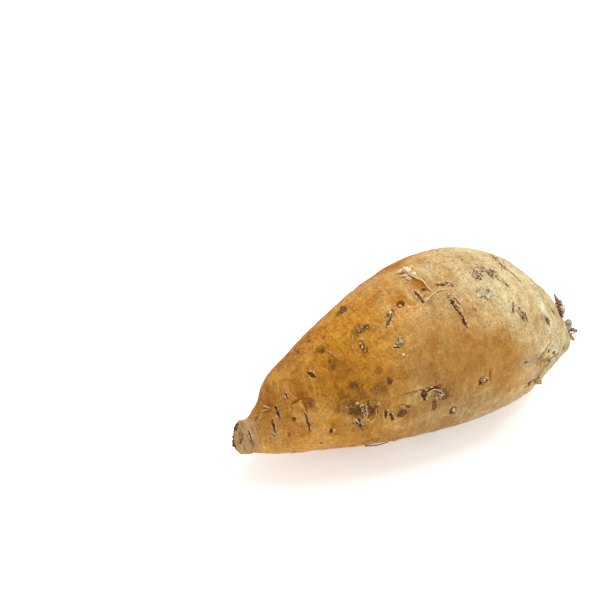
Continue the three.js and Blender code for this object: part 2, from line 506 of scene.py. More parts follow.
class Relief:
    """Adds up the height in millimetres and the finish masks of every mark over a set of points."""

    # The finishes that the skin's material tells apart.
    masks = ("dark", "cork", "crust", "stain", "wound", "ash", "fold", "grey", "pale", "furrow", *ZONES)

    def __init__(self, points, chart):
        self.points = points
        self.chart = chart
        self.height = np.zeros(len(points))
        self.mask = {name: np.zeros(len(points)) for name in self.masks}

    def lumps(self, index, size, seed, octaves=2):
        """Noise at some of the points, in lumps of the given size."""
        return ripple(self.points[index], size, seed, octaves)

    def near(self, mark, margin=2.0):
        """Points close to the mark, with their distances along it, across it and off the skin."""
        origin, axes = self.chart.place(mark.along, mark.around, mark.lean)
        offset = self.points - origin
        reach = max(mark.length, mark.width) * 0.6 + margin
        index = np.nonzero((offset**2).sum(1) < reach**2)[0]
        s, t, off = (offset[index] @ axes.T).T
        return index, s, t, off

    def oval(self, mark, size=None, seed=0.0, uneven=0.0, margin=2.0):
        """Points close to the mark and how far out each one is, as a share of the mark's oval."""
        index, s, t, off = self.near(mark, margin)
        share = np.sqrt((2 * s / mark.length) ** 2 + (2 * t / mark.width) ** 2 + (off / mark.width) ** 2)
        if uneven:
            share = share * (1 + uneven * self.lumps(index, size, seed))
        return index, share

    def lift(self, index, height, **masks):
        """Adds height, and keeps the larger of each mask's old and new value."""
        self.height[index] += height
        for name, value in masks.items():
            self.mask[name][index] = np.maximum(self.mask[name][index], value)

    def slit(self, mark, seed):
        """A split with raised corky lips."""
        index, s, t, _ = self.near(mark)
        end = np.clip(1 - (2 * s / mark.length) ** 2, 0, 1)
        line = np.column_stack((s, np.zeros_like(s), np.zeros_like(s)))
        t = t - 0.45 * ripple(line, 2.4, seed)
        uneven = np.clip(1 + 0.9 * ripple(line, 1.5, seed + 5), 0.3, 1.6)
        half = 0.45 * mark.width * np.sqrt(end) * uneven + 0.01
        groove = ramp(np.abs(t) / half, 1.2, 0.4) * ramp(end, 0.0, 0.1)
        crumb = np.clip(0.6 + 1.2 * self.lumps(index, 0.9, seed + 9), 0, 1)
        # One lip stands higher and paler than the other; its paleness is partly a painted highlight on the
        # side that faces the light.
        raised_highlight_side = np.where(t < 0, 0.5, 1.0)
        lip = hump(np.abs(t), half + 0.3, 0.45) * ramp(end, 0.0, 0.35) * crumb * raised_highlight_side
        depth = 0.8 * mark.width**0.5
        self.lift(
            index,
            0.45 * lip - depth * groove,
            # Dark in the groove: partly the dark inside, partly painted shade.
            dark=groove,
            cork=lip,
            stain=0.5 * hump(np.abs(t), 0, half + 0.7) * ramp(end, 0.0, 0.3),
        )

    def pit(self, mark, seed):
        """A hole with a low broken rim."""
        index, share = self.oval(mark, 1.4, seed, 0.15)
        hollow = ramp(share, 1.1, 0.5)
        broken = ramp(self.lumps(index, 1.2, seed + 4), -0.2, 0.4)
        rim = hump(share, 1.2, 0.18) * broken
        depth = 0.36 * mark.width
        # Dark in the hole: partly the dark inside, partly painted shade.
        self.lift(index, 0.16 * rim - depth * hollow, dark=hollow, cork=0.45 * rim)

    def crater(self, mark, seed):
        """Curved strands of flaking cork round a sunken dark middle."""
        index, s, t, _ = self.near(mark)
        out = np.hypot(2 * s / mark.length, 2 * t / mark.width)
        share = out * (1 + 0.25 * self.lumps(index, 2.5, seed))
        radius, turn = np.hypot(s, t), np.arctan2(t, s)
        bent = np.column_stack((0.8 * radius, 4.0 * np.cos(turn), 4.0 * np.sin(turn)))
        strand = ripple(bent, 1.2, seed + 3, octaves=2)
        middle = ramp(share, 0.75, 0.2)
        ring = hump(share, 0.9, 0.45)
        self.lift(
            index,
            ring * (0.1 + 0.7 * strand) - 0.5 * middle,
            stain=0.9 * ramp(share, 1.3, 0.3),
            cork=0.75 * ring * ramp(strand, 0.15, 0.5),
            # Dark in the sunken middle and between the strands: partly dark cork, partly painted shade.
            dark=np.maximum(0.6 * middle, 0.8 * ring * ramp(strand, -0.05, -0.4)),
        )

    def crust(self, mark, seed):
        """A rough patch of crumbled cork."""
        index, share = self.oval(mark, 2.2, seed, 0.4)
        patch = ramp(share, 1.15, 0.6)
        flake = self.lumps(index, 1.1, seed + 3, octaves=3)
        self.lift(
            index,
            patch * (0.05 + 0.55 * flake),
            crust=0.75 * patch,
            cork=0.85 * patch * ramp(flake, 0.25, 0.6),
            # Dark where the crust is lowest: partly dark cork, partly painted shade.
            dark=patch * ramp(flake, -0.1, -0.45),
        )

    def crease(self, mark, seed):
        """A soft valley with one raised edge, with painted shade in the valley and a painted highlight on
        the edge.
        """
        index, s, t, _ = self.near(mark)
        end = np.sqrt(np.clip(1 - (2 * s / mark.length) ** 2, 0, 1))
        t = t - 0.5 * self.lumps(index, 4.0, seed)
        valley = hump(t, 0, mark.width / 2) * end
        ridge = hump(t, mark.width, 0.7 * mark.width) * end
        self.lift(index, 0.55 * ridge - 0.65 * valley, furrow=valley, pale=ridge)

    def plate(self, mark, seed):
        """A thin raised plate with a sharp ragged edge and a painted shadow round it."""
        index, s, t, _ = self.near(mark)
        share = ((2 * s / mark.length) ** 4 + (2 * t / mark.width) ** 4) ** 0.25
        share = share + 0.7 * self.lumps(index, 0.5 * mark.width, seed, octaves=3)
        top = ramp(share, 1.0, 0.85)
        grain = self.lumps(index, 0.8, seed + 2)
        self.lift(
            index,
            top * (0.5 + 0.2 * grain) - 0.25 * hump(share, 1.12, 0.12),
            grey=top,
            cork=0.35 * top * ramp(grain, 0.0, 0.5),
            # A painted shadow in the groove round the plate's edge.
            dark=0.8 * hump(share, 1.1, 0.12),
        )

    def scab(self, mark, seed):
        """A dark raised scab with a sunken ragged edge."""
        index, share = self.oval(mark, 1.6, seed, 0.4)
        top = ramp(share, 1.1, 0.7)
        grain = self.lumps(index, 1.0, seed + 2, octaves=3)
        self.lift(index, top * (0.15 + 0.35 * grain) - 0.3 * hump(share, 1.0, 0.2), wound=top)

    def stain(self, mark, seed):
        """A brown stain, a little sunken."""
        index, share = self.oval(mark, 1.6, seed, 0.5)
        patch = ramp(share, 1.2, 0.4)
        self.lift(index, -0.08 * patch, stain=patch)

    def hollow(self, mark, seed):
        """A broad soft hollow."""
        index, share = self.oval(mark, 6.0, seed, 0.2, margin=6.0)
        depth = 0.09 * mark.width
        self.lift(index, -depth * ramp(share, 1.3, 0.0))

    def swell(self, mark, seed):
        """A broad low rise."""
        index, share = self.oval(mark, 8.0, seed, 0.1, margin=8.0)
        height = 0.065 * mark.width
        self.lift(index, height * ramp(share, 1.3, 0.0))

    def zones(self):
        """Where each skin colour lies."""
        cloud = ripple(self.points, 9.0, 21, octaves=3)
        for name, patches in ZONES.items():
            for mark in patches:
                index, share = self.oval(mark, margin=60.0)
                self.lift(index, 0.0, **{name: ramp(share + 0.25 * cloud[index], 1.45, 0.35)})

    def tip(self, normals):
        """The weathered cap, with rings round it, the broken end, and where the skin lies in folds."""
        x, y, z = self.points.T
        rough = ripple(self.points, 1.8, 31, octaves=3)
        beyond = CAP_END - (x - CAP_SLOPE * (z - CAP_HEIGHT))
        ash = ramp(beyond + 1.8 * rough, -3.4, 2.6)
        faces = normals @ np.array(BREAK_FACES)
        broken = ramp(faces + 0.06 * rough, 0.66, 0.77) * ramp(beyond, 1.0, 2.5)
        rings = ripple(np.column_stack((5.0 * beyond, y, z)), 7.0, 33, octaves=3)
        ringed = ramp(beyond, -7.0, -1.0) * (1 - broken)
        self.mask["ash"] = ash
        self.mask["wound"] = np.maximum(self.mask["wound"], broken)
        self.mask["fold"] = np.maximum(ramp(x, 40.0, 68.0), ramp(x, -54.0, -68.0))
        upper = ramp(normals[:, 2], -0.4, 0.4)
        collar = 0.4 * hump(beyond, 3.6, 1.8) * upper - 0.3 * hump(beyond, -0.6, 1.8)
        self.height += collar * (1 - broken) - 0.40 * ringed * rings + broken * (1.1 * rough - 0.4)


MARKS = {
    "slit": SLITS,
    "pit": PITS,
    "crater": CRATERS,
    "crust": CRUSTS,
    "crease": CREASES,
    "plate": PLATES,
    "scab": SCABS,
    "stain": STAINS,
    "hollow": HOLLOWS,
    "swell": SWELLS,
}


def all_marks():
    """The named marks, and more like them scattered over the side that turns away."""
    marks = {kind: list(named) for kind, named in MARKS.items()}
    chance = np.random.default_rng(FAR_SEED)
    for kind, (count, typical_length, typical_width) in SCATTERED.items():
        for _ in range(count):
            size = chance.uniform(0.6, 1.4)
            marks[kind].append(
                Mark(
                    along=chance.uniform(*FAR_ALONG),
                    around=chance.uniform(*FAR_AROUND),
                    length=typical_length * size,
                    width=typical_width * chance.uniform(0.8, 1.2),
                    lean=chance.normal(*FAR_LEAN),
                )
            )
    return marks


# ---------------------------------------------------------------- skin mesh


def read_points(mesh):
    """The mesh's vertices in millimetres."""
    flat = np.zeros(len(mesh.vertices) * 3, np.float32)
    mesh.vertices.foreach_get("co", flat)
    return flat.reshape(-1, 3).astype(float) / MM


def write_points(mesh, points):
    """Moves the mesh's vertices to the points, given in millimetres."""
    mesh.vertices.foreach_set("co", (points * MM).astype(np.float32).ravel())
    mesh.update()


def read_edges(mesh):
    """The two vertex numbers of each edge."""
    flat = np.zeros(len(mesh.edges) * 2, np.int32)
    mesh.edges.foreach_get("vertices", flat)
    return flat.reshape(-1, 2)


def read_normals(mesh):
    """The outward direction at each vertex."""
    flat = np.zeros(len(mesh.vertices) * 3, np.float32)
    mesh.vertex_normals.foreach_get("vector", flat)
    return flat.reshape(-1, 3).astype(float)


def surface_tree(mesh):
    """The mesh as a surface to cast rays at, in millimetres."""
    points = [Vector(p) for p in read_points(mesh)]
    return BVHTree.FromPolygons(points, [tuple(f.vertices) for f in mesh.polygons])


def relax(points, edges, rounds):
    """Rounds the surface off by moving each point half way to the middle of its neighbours."""
    count = np.bincount(edges.ravel(), minlength=len(points))[:, None]
    for _ in range(rounds):
        total = np.zeros_like(points)
        np.add.at(total, edges[:, 0], points[edges[:, 1]])
        np.add.at(total, edges[:, 1], points[edges[:, 0]])
        points = (points + total / count) / 2
    return points


def round_off(points, edges, rounds):
    """Smooths the surface and then gives back the size that the smoothing took from it."""
    smooth = relax(points, edges, rounds)
    return smooth - relax(smooth - points, edges, rounds)


def even_cells(node, cell):
    """A copy of a CAD node's mesh, made of even four-sided cells."""
    source = bpy.data.objects.new("cells", node.data.copy())
    bpy.context.collection.objects.link(source)
    remesh = source.modifiers.new("Remesh", "REMESH")
    remesh.mode = "VOXEL"
    remesh.voxel_size = cell
    graph = bpy.context.evaluated_depsgraph_get()
    mesh = bpy.data.meshes.new_from_object(source.evaluated_get(graph))
    bpy.data.objects.remove(source)
    return mesh


def refine(mesh, wanted):
    """Halves the cells whose corners are all wanted."""
    work = bmesh.new()
    work.from_mesh(mesh)
    work.verts.ensure_lookup_table()
    edges = [e for e in work.edges if wanted[e.verts[0].index] and wanted[e.verts[1].index]]
    bmesh.ops.subdivide_edges(work, edges=edges, cuts=1, use_grid_fill=True)
    bmesh.ops.triangulate(work, faces=[f for f in work.faces if len(f.verts) > 4])
    work.to_mesh(mesh)
    work.free()
    write_points(mesh, relax(read_points(mesh), read_edges(mesh), rounds=1))


def on_marks(points, chart, marks, kinds, margin):
    """True for the points that lie within margin of a mark of these kinds."""
    relief = Relief(points, chart)
    wanted = np.zeros(len(points), bool)
    for kind in kinds:
        for mark in marks[kind]:
            index, s, t, _ = relief.near(mark, margin)
            inside = (s / (mark.length / 2 + margin)) ** 2 + (t / (mark.width / 2 + margin)) ** 2 < 1
            wanted[index[inside]] = True
    return wanted


def wrinkles(points, chart):
    """Fine folds that run round the root, deepest at the neck and the crown."""
    x, y, z = points.T
    rings = x - chart.radius(points) * x / HALF_LENGTH
    deep = 1.0 + 4.2 * ramp(x, 48.0, 72.0) + 1.2 * ramp(x, -52.0, -64.0)
    fine = ripple(np.column_stack((4.0 * rings, y, z)), 8.0, 4)
    coarse = ripple(np.column_stack((2.5 * rings, y, z)), 12.0, 6)
    return deep * (fine + coarse)


def store(mesh, name, values):
    """Keeps one number per vertex for the materials to read."""
    layer = mesh.attributes.new(name, "FLOAT", "POINT")
    layer.data.foreach_set("value", values.astype(np.float32))


def skin_cells(settings, marks):
    """The rounded root as a mesh that is finer where the marks lie, and the chart of its skin."""
    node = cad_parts[CAD_NODE]
    mesh = even_cells(node, settings.cell)
    write_points(mesh, round_off(read_points(mesh), read_edges(mesh), rounds=25))
    chart = Chart(read_points(node.data), surface_tree(mesh))
    points = read_points(mesh)
    at_tip = points[:, 0] < TIP_START
    refine(mesh, on_marks(points, chart, marks, FINE_KINDS, margin=0.9) | at_tip)
    points = read_points(mesh)
    refine(mesh, on_marks(points, chart, marks, FINEST_KINDS, margin=0.5))
    return mesh, chart


def make_skin(settings, marks):
    """The root's skin with every mark cut into it."""
    mesh, chart = skin_cells(settings, marks)
    points = read_points(mesh)
    normals = read_normals(mesh)
    relief = Relief(points, chart)
    for kind, placed in marks.items():
        for order, mark in enumerate(placed):
            getattr(relief, kind)(mark, seed=10.0 * order + len(kind))
    relief.zones()
    relief.tip(normals)
    relief.height += settings.dimple / MM * ripple(points, 11.0, 3)
    relief.height += settings.wrinkle / MM * wrinkles(points, chart)
    points = points + normals * relief.height[:, None]
    points[:, 2] = np.maximum(points[:, 2], 0.0)
    write_points(mesh, points)
    for name, values in relief.mask.items():
        store(mesh, name, values)
    mesh.shade_smooth()
    return mesh


# ---------------------------------------------------------------- small dry pieces


class Pile:
    """Gathers the points and faces of many small closed bits into one mesh."""

    def __init__(self):
        self.points = []
        self.faces = []
        self.tones = []

    def add(self, points, faces, tone):
        """tone picks the bit's colour in its material, as one number or one for each point."""
        start = len(self.points)
        self.points.extend(points)
        self.faces.extend([tuple(start + i for i in face) for face in faces])
        self.tones.extend(np.broadcast_to(tone, len(points)))

    def mesh(self, name):
        """One mesh in metres of everything added."""
        mesh = bpy.data.meshes.new(name)
        mesh.from_pydata([Vector(p) * MM for p in self.points], [], self.faces)
        store(mesh, "tone", np.array(self.tones))
        mesh.shade_smooth()
        return mesh


def smooth_path(points, steps):
    """A curve through the points, with steps pieces between each two."""
    points = np.asarray(points, float)
    padded = np.vstack((2 * points[0] - points[1], points, 2 * points[-1] - points[-2]))
    path = []
    for a, b, c, d in zip(padded, padded[1:], padded[2:], padded[3:]):
        for share in np.arange(steps) / steps:
            bend = (2 * a - 5 * b + 4 * c - d) * share + (3 * b - a - 3 * c + d) * share**2
            path.append(b + 0.5 * share * ((c - a) + bend))
    path.append(points[-1])
    return np.array(path)


def tube(path, radii, normals, sides=8, rough=0.0, seed=0.0):
    """A closed tube along a path, with one radius and one sideways direction for each of its points."""
    forward = np.gradient(path, axis=0)
    forward /= np.linalg.norm(forward, axis=1)[:, None]
    across = np.cross(forward, normals)
    across /= np.linalg.norm(across, axis=1)[:, None]
    upward = np.cross(across, forward)
    turns = np.arange(sides) * 2 * math.pi / sides
    rings = np.stack(
        [path + radii[:, None] * (across * math.cos(a) + upward * math.sin(a)) for a in turns], axis=1
    )
    points = rings.reshape(-1, 3)
    if rough:
        centre = np.repeat(path, sides, axis=0)
        swell = 1 + rough * ripple(points, max(radii.max(), 0.4), seed, octaves=3)
        points = centre + (points - centre) * swell[:, None]
    faces = []
    for ring in range(len(path) - 1):
        for side in range(sides):
            a, b = ring * sides + side, ring * sides + (side + 1) % sides
            faces.append((a, b, b + sides, a + sides))
    faces.append(tuple(reversed(range(sides))))
    faces.append(tuple(range(len(points) - sides, len(points))))
    return points, faces


FLAKE_THICKNESS = 0.14
# How deep the rooted edge of a flake is set into the skin.
FLAKE_ROOTED = 0.05


def flake(point, axes, size, slim, chance):
    """A thin curled plate of cork, or a bent strip where slim, standing a little off the skin."""
    columns, rows = 6, 4
    half_length = size / 2
    half_width = size * (chance.uniform(0.035, 0.07) if slim else chance.uniform(0.2, 0.4))
    bend = size * (chance.uniform(-0.3, 0.3) if slim else 0.0)
    lift, curl = chance.uniform(0.1, 0.6), chance.uniform(-0.3, 0.5)
    if slim:
        lift, curl = 0.3 * lift, 0.5 * curl
    grid = []
    for u in np.linspace(-1, 1, columns):
        edge = half_width * (1 - 0.8 * u * u) * chance.uniform(0.7, 1.2)
        for v in np.linspace(-1, 1, rows):
            off = size * (0.5 * lift * (v + 1) / 2 + 0.35 * curl * u * u) - FLAKE_ROOTED
            side = v * edge + bend * u * u
            grid.append(point + axes[0] * u * half_length + axes[1] * side + axes[2] * off)
    top = np.array(grid)
    bottom = top - axes[2] * FLAKE_THICKNESS
    faces = []
    for i in range(columns - 1):
        for j in range(rows - 1):
            a = i * rows + j
            quad = (a, a + rows, a + rows + 1, a + 1)
            faces.append(quad)
            faces.append(tuple(columns * rows + k for k in reversed(quad)))
    rim = [i * rows for i in range(columns)]
    rim += [(columns - 1) * rows + j for j in range(1, rows)]
    rim += [i * rows + rows - 1 for i in range(columns - 2, -1, -1)]
    rim += list(range(rows - 2, 0, -1))
    for a, b in zip(rim, rim[1:] + rim[:1]):
        faces.append((b, a, columns * rows + a, columns * rows + b))
    return np.vstack((top, bottom)), faces


# For each kind of mark: how thickly it is strewn with flakes, what share of them are strips, how
# long its longest plates and strips are, and the tones that its flakes take.
Strewing = namedtuple("Strewing", "thickly slim plate strip tones")
STREWN = {
    "slit": Strewing(0.45, 0.7, 1.2, 2.2, (-0.3, 0.1, 0.8)),
    "crater": Strewing(0.9, 0.75, 1.5, 3.8, (0.1, 0.5, 0.9)),
    "crust": Strewing(1.1, 0.5, 1.8, 3.0, (-0.3, 0.1, 0.8)),
}
TONE_ODDS = (0.35, 0.35, 0.3)
SHORTEST_FLAKE = 0.6
# How far above the floor the lowest flakes are.
FLAKE_CLEARANCE = 3.0
FLAKE_SEED = 8


def flake_spot(mark, kind, chance):
    """How far along the mark and across it a flake lies, and the angle that it points at."""
    turn = chance.uniform(0, 2 * math.pi)
    if kind == "slit":
        s = mark.length / 2 * chance.uniform(-0.9, 0.9)
        t = mark.width / 2 * chance.choice((-1.2, 1.0))
        return s, t, chance.normal(0, 0.3)
    least_out, askew = (0.3, 0.0) if kind == "crater" else (0.0, math.pi / 2)
    out = math.sqrt(chance.uniform(least_out, 0.9))
    s = mark.length / 2 * out * math.cos(turn)
    t = mark.width / 2 * out * math.sin(turn)
    return s, t, turn + chance.normal(askew, 0.7)


def turned(axes, turn):
    """The axes, turned about the last of them."""
    first = axes[0] * math.cos(turn) + axes[1] * math.sin(turn)
    second = axes[1] * math.cos(turn) - axes[0] * math.sin(turn)
    return np.array((first, second, axes[2]))


def make_flakes(chart, marks, count):
    """Cork flakes on the crusts, round the craters and along the lips of the slits."""
    pile = Pile()
    chance = np.random.default_rng(FLAKE_SEED)
    beds = [(mark, kind) for kind in STREWN for mark in marks[kind]]
    shares = np.array([mark.length * STREWN[kind].thickly for mark, kind in beds])
    for choice in chance.choice(len(beds), count, p=shares / shares.sum()):
        mark, kind = beds[choice]
        strewing = STREWN[kind]
        slim = chance.random() < strewing.slim
        s, t, turn = flake_spot(mark, kind, chance)
        point, axes = chart.on_mark(mark, s, t)
        if point[2] < FLAKE_CLEARANCE:
            continue
        size = chance.uniform(SHORTEST_FLAKE, strewing.strip if slim else strewing.plate)
        points, faces = flake(point, turned(axes, turn), size, slim, chance)
        pile.add(points, faces, chance.choice(strewing.tones, p=TONE_ODDS))
    return pile.mesh("cork_flakes")


# Rootlets as (places along and around, radius in millimetres, tone). Tone runs from cream cork at 0
# to dark bark at 1.
ROOTLETS = [
    ([(-67.4, -10), (-66.8, 2), (-66.2, 13)], 0.26, 0.3),
    ([(-69.0, -3), (-67.6, 8), (-66.2, 14)], 0.20, 0.3),
    ([(-40.4, 9), (-39.2, 15), (-38.3, 21)], 0.16, 0.4),
    ([(-38.3, 21), (-38.8, 27), (-37.6, 33)], 0.10, 0.8),
    ([(-42.0, 29), (-40.2, 31), (-36.7, 34), (-35.0, 36)], 0.09, 0.8),
    ([(-28.8, 11), (-30.4, 15), (-31.3, 19), (-31.4, 26), (-31.4, 31), (-33.7, 34)], 0.11, 0.4),
    ([(3.8, -10), (5.0, -3), (6.6, 2), (7.0, 9), (7.2, 13)], 0.36, -0.2),
    ([(2.4, 18), (4.6, 16), (6.9, 15.6), (9.9, 14.4), (12.6, 16)], 0.24, 0.05),
    ([(37.6, 14), (39.6, 19), (41.4, 24)], 0.14, 0.6),
    ([(50.8, -25), (48.4, -9), (46.2, 7)], 0.14, 0.6),
    ([(-17.9, 73), (-14.0, 72), (-10.0, 71)], 0.13, 0.4),
    ([(-7.6, 76.1), (-5.1, 76.0), (-2.6, 77.0), (-0.6, 82.6)], 0.22, 0.2),
    ([(-7.0, 79.9), (-4.6, 78.4), (-2.7, 81.2), (-2.3, 86.0)], 0.18, 0.5),
    ([(22.9, -33), (24.4, -31), (26.2, -28)], 0.25, 0.3),
    ([(-29.0, 137), (-25.0, 139), (-22.0, 138), (-18.0, 139)], 0.35, 0.8),
    ([(-28.8, 77), (-29.3, 83), (-30.8, 88)], 0.15, 0.1),
    ([(-30.0, 72), (-29.6, 76)], 0.11, 0.5),
    ([(-33.2, 73), (-32.8, 78), (-33.6, 83)], 0.19, 0.1),
    ([(-34.3, 75), (-34.6, 80)], 0.11, 0.5),
    ([(-41.8, 69), (-40.4, 69)], 0.10, 0.3),
    ([(-41.2, 74), (-40.2, 74.6), (-39.4, 74)], 0.11, 0.3),
    ([(-37.8, 79), (-36.8, 84), (-35.6, 88)], 0.30, -0.4),
    ([(-36.4, 91), (-35.0, 98), (-34.0, 106)], 0.18, 0.6),
]

# Thicker lumps of dried cork as (places along and around, greatest radius, tone).
BUDS = [
    ([(3.0, -15), (4.2, -12.5), (5.4, -10)], 1.6, -0.3),
    ([(0.8, -17), (2.2, -15.5), (3.6, -14)], 0.9, -0.3),
    ([(5.4, -13), (6.8, -14), (8.0, -15)], 0.8, -0.3),
    ([(4.4, -9), (5.2, -7), (5.8, -4.5)], 0.9, -0.2),
    ([(0.6, -11), (2.0, -9.5), (3.4, -9)], 0.7, 0.1),
    ([(1.6, -6.5), (2.4, -5.5), (3.2, -4.5)], 0.6, 0.1),
    ([(4.6, 6), (5.6, 8), (6.4, 9)], 0.8, 0.7),
    ([(-7.4, 9.0), (-6.6, 10.2), (-5.8, 11.0)], 0.8, 0.3),
    ([(-15.0, 43), (-14.6, 44), (-14.2, 45)], 0.5, -0.2),
    ([(5.0, 98), (5.2, 100), (5.4, 102)], 0.7, -0.1),
]


ROOTLET_STEPS = 6
BUD_SIDES = 14
# Each kind of bit takes its noise seeds from here on, so that no two have the same lumps.
BUD_SEEDS = 40
STEM_SEEDS = 60


def path_on_skin(chart, places, heights):
    """A smooth path through the places, at heights above the skin, and the skin's normals along it."""
    spots = [chart.place(*place) for place in places]
    points = [point + axes[2] * height for (point, axes), height in zip(spots, heights)]
    return smooth_path(points, ROOTLET_STEPS), smooth_path([axes[2] for _, axes in spots], ROOTLET_STEPS)


def make_rootlets(chart):
    """Dried rootlets and lumps lying on the skin."""
    pile = Pile()
    for order, (places, radius, tone) in enumerate(ROOTLETS):
        bow = np.sin(np.linspace(0, math.pi, len(places)))
        path, normals = path_on_skin(chart, places, radius * (0.7 + 1.5 * bow))
        taper = radius * (0.35 + 0.65 * np.sqrt(np.linspace(1, 0, len(path))))
        pile.add(*tube(path, taper, normals, rough=0.35, seed=order), tone)
    for order, (places, radius, tone) in enumerate(BUDS):
        path, normals = path_on_skin(chart, places, [0.45 * radius] * len(places))
        swell = radius * np.sqrt(np.clip(1 - np.linspace(-1, 1, len(path)) ** 2, 0.02, 1))
        pile.add(*tube(path, swell, normals, sides=BUD_SIDES, rough=0.9, seed=BUD_SEEDS + order), tone)
    return pile.mesh("rootlets")


# Broken stem ends and shoots on the crown, and the dark knob low on the flank, as (points in
# millimetres, radii, roughness, tones of both ends).
# Tone runs from a dark hollow at -1 by grey stem at 0 and reddish shoot at 1 to pale cork at 1.5.
STEMS = [
    (
        [(72, -12, 27), (76, -12.5, 28.5), (79, -13, 30), (81, -13.4, 30.6)],
        (3.4, 3.5, 3.1, 2.2),
        0.35,
        (0, 0),
    ),
    ([(77, -12, 33.2), (79.4, -12.4, 33.6), (80.8, -12.8, 32.4)], (1.0, 1.7, 0.9), 0.35, (0.0, -0.1)),
    ([(77.2, -15.9, 31.2), (79.0, -15.9, 31.8), (80.6, -15.4, 32.0)], (0.4, 0.9, 0.5), 0.3, (-1, -1)),
    ([(79, -14, 29.5), (81.2, -14.8, 29.8), (82.8, -15.4, 29.8)], (1.0, 0.9, 0.7), 0.3, (0.0, -0.5)),
    ([(77.6, -16, 29), (79.0, -17.2, 28.2), (79.8, -18.0, 27.4)], (1.2, 1.0, 0.6), 0.3, (0.5, 0.1)),
    ([(77.4, -16.6, 31.4), (78.6, -17.4, 31.6), (79.4, -18.0, 31.2)], (0.6, 0.6, 0.4), 0.5, (1.5, 1.4)),
    ([(68.3, -17.4, 42.4), (71.4, -13.4, 42.4), (73.0, -9.9, 43.4)], (0.8, 1.9, 1.5), 0.4, (0.55, 0.6)),
    ([(73.3, -11.6, 42.4), (74.0, -9.3, 44.8), (73.6, -8.2, 46.6)], (1.2, 1.2, 0.7), 0.35, (0.8, 1.0)),
    ([(73.7, -8.4, 46.2), (73.4, -7.6, 47.4), (73.1, -6.9, 48.6)], (0.8, 0.6, 0.2), 0.35, (0.0, 0.0)),
    ([(73.8, -11.6, 43.4), (74.4, -10.5, 45.0), (74.7, -9.9, 46.4)], (0.7, 1.1, 0.5), 0.35, (0.9, 0.95)),
    ([(73.4, -12.4, 37.4), (74.6, -11.2, 40.2), (74.8, -9.8, 43.2)], (1.1, 1.4, 1.0), 0.35, (-0.2, 0.55)),
    ([(75.4, -11.8, 39.6), (76.4, -10.8, 41.4), (76.2, -9.8, 43.4)], (0.9, 1.0, 0.4), 0.35, (0.0, 0.1)),
    ([(73.0, -13.2, 45.4), (74.0, -13.0, 43.8), (74.6, -12.8, 42.2)], (0.4, 0.9, 0.4), 0.4, (1.5, 1.4)),
    ([(70.1, -13.5, 47.3), (70.7, -15.6, 45.4), (70.2, -18.6, 44.5)], (0.4, 1.0, 0.5), 0.35, (-0.5, -0.6)),
    ([(46.3, -35.2, 31.0), (47.2, -36.2, 30.1), (48.2, -36.6, 29.1)], (1.0, 1.6, 1.0), 0.45, (0.42, 0.4)),
    ([(46.6, -35.6, 30.0), (47.7, -36.6, 29.4), (48.6, -37.0, 29.0)], (0.6, 1.1, 0.6), 0.45, (-0.3, -0.5)),
    ([(46.6, -35.0, 31.6), (47.2, -35.8, 31.7), (47.8, -36.2, 31.5)], (0.4, 0.8, 0.4), 0.45, (-0.3, -0.5)),
]

STEM_SIDES = 18
STEM_STEPS = 7
# A direction that no stem runs along, which the sides of every stem are counted from.
STEM_SIDEWAYS = (0.2, -0.4, 0.9)


def make_stems():
    """The grey stem end, the reddish shoots and the dark knob."""
    pile = Pile()
    for order, (points, radii, rough, (near_tone, far_tone)) in enumerate(STEMS):
        path = smooth_path(points, STEM_STEPS)
        widths = np.interp(np.linspace(0, 1, len(path)), np.linspace(0, 1, len(radii)), radii)
        normals = np.broadcast_to(STEM_SIDEWAYS, path.shape)
        tones = np.repeat(np.linspace(near_tone, far_tone, len(path)), STEM_SIDES)
        points, faces = tube(path, widths, normals, STEM_SIDES, rough, seed=STEM_SEEDS + order)
        pile.add(points, faces, tones)
    return pile.mesh("stem_ends")


# ---------------------------------------------------------------- materials

# The noises that colour the skin, each with the size of its lumps in metres.
SKIN_NOISES = {
    "cloud": {"size": 0.014},
    "mottle": {"size": 0.0034, "detail": 5.0, "roughness": 0.65},
    "speckle": {"size": 0.0010, "detail": 4.0, "roughness": 0.7},
    "streak": {"size": 0.0060, "detail": 5.0, "roughness": 0.65, "stretch": (5.0, 1.0, 1.0)},
    "chunk": {"size": 0.0016, "detail": 4.0},
    "ring": {"size": 0.0050, "detail": 4.0, "stretch": (8.0, 1.0, 1.0)},
    "fine": {"size": 0.0006},
}

# What each effect multiplies the skin's red, green and blue by.
TINTS = {
    "dark cloud": (0.86, 0.74, 0.58),
    "light cloud": (1.08, 1.12, 1.15),
    # Dry pale bloom, and painted light on the crown's right side.
    "bloom_and_light": (1.26, 1.40, 1.74),
    "soil": (0.66, 0.66, 0.84),
    "soil clods": (0.68, 0.64, 0.62),
    "soil grains": (1.5, 1.7, 2.2),
    "dark mottle": (0.78, 0.71, 0.60),
    "light mottle": (1.12, 1.15, 1.2),
    "light streak": (1.13, 1.22, 1.40),
    "dark streak": (0.85, 0.80, 0.73),
    "dark speckle": (0.62, 0.56, 0.48),
    "light speckle": (1.25, 1.34, 1.50),
    # Painted highlight on the raised edges of the creases, and painted shade in their valleys.
    "ridge": (1.24, 1.27, 1.20),
    "furrow": (0.50, 0.38, 0.27),
    "cap ring": (0.60, 0.50, 0.42),
    "stain": (0.46, 0.40, 0.40),
    "crust": (0.78, 0.80, 0.90),
    # Darker gaps between the crust's chips: partly dark cork, partly painted shade.
    "crust gap": (0.38, 0.34, 0.34),
}


